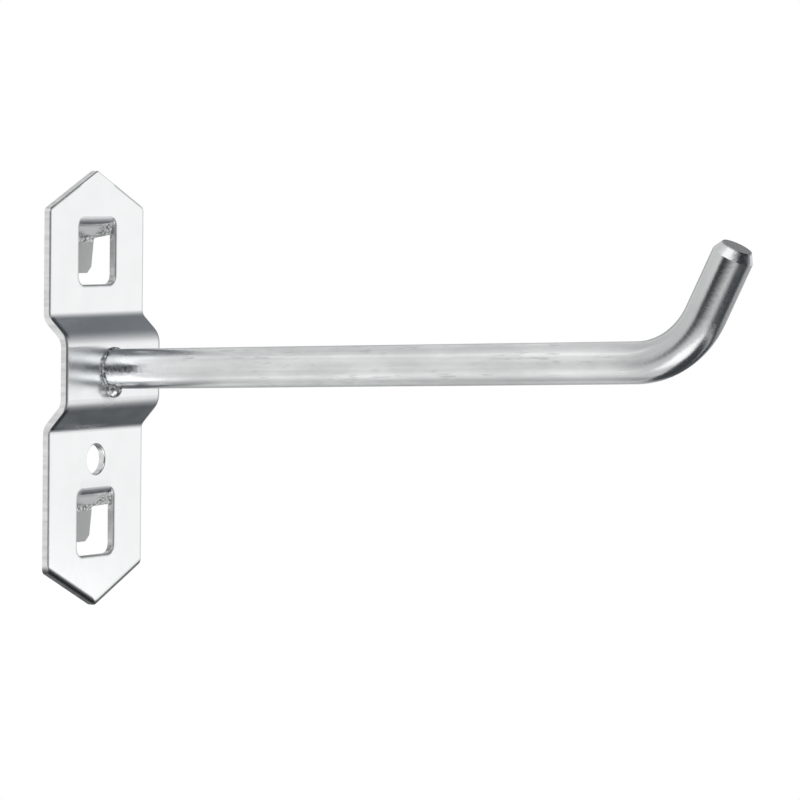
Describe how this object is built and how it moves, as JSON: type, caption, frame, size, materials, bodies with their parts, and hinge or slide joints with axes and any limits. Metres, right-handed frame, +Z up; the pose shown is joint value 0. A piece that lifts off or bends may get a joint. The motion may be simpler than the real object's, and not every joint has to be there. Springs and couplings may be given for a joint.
{
  "type": "pegboard hook",
  "caption": "Plated pegboard hook: a pointed, joggled back plate with folded hook tongues and a screw hole carries a welded round bar that leans upwards and turns up at its tip.",
  "frame": {"origin": "on the panel plane behind the pads, midway across the plate, level with the bar's axis at its foot", "axes": "+Z up, +Y into the panel, so the bar points along -Y, and +X across the plate"},
  "size_m": [0.0222, 0.1082, 0.0609],
  "materials": {
    "plated_sheet": "bright zinc plate on stamped sheet",
    "plated_bar": "satin zinc plate with lengthwise drawing marks",
    "plated_weld": "rough zinc plated weld"
  },
  "bodies": {
    "root": {"back_plate": "plated_sheet", "hook_rod": "plated_bar", "weld_bead": "plated_weld"}
  },
  "joints": []
}
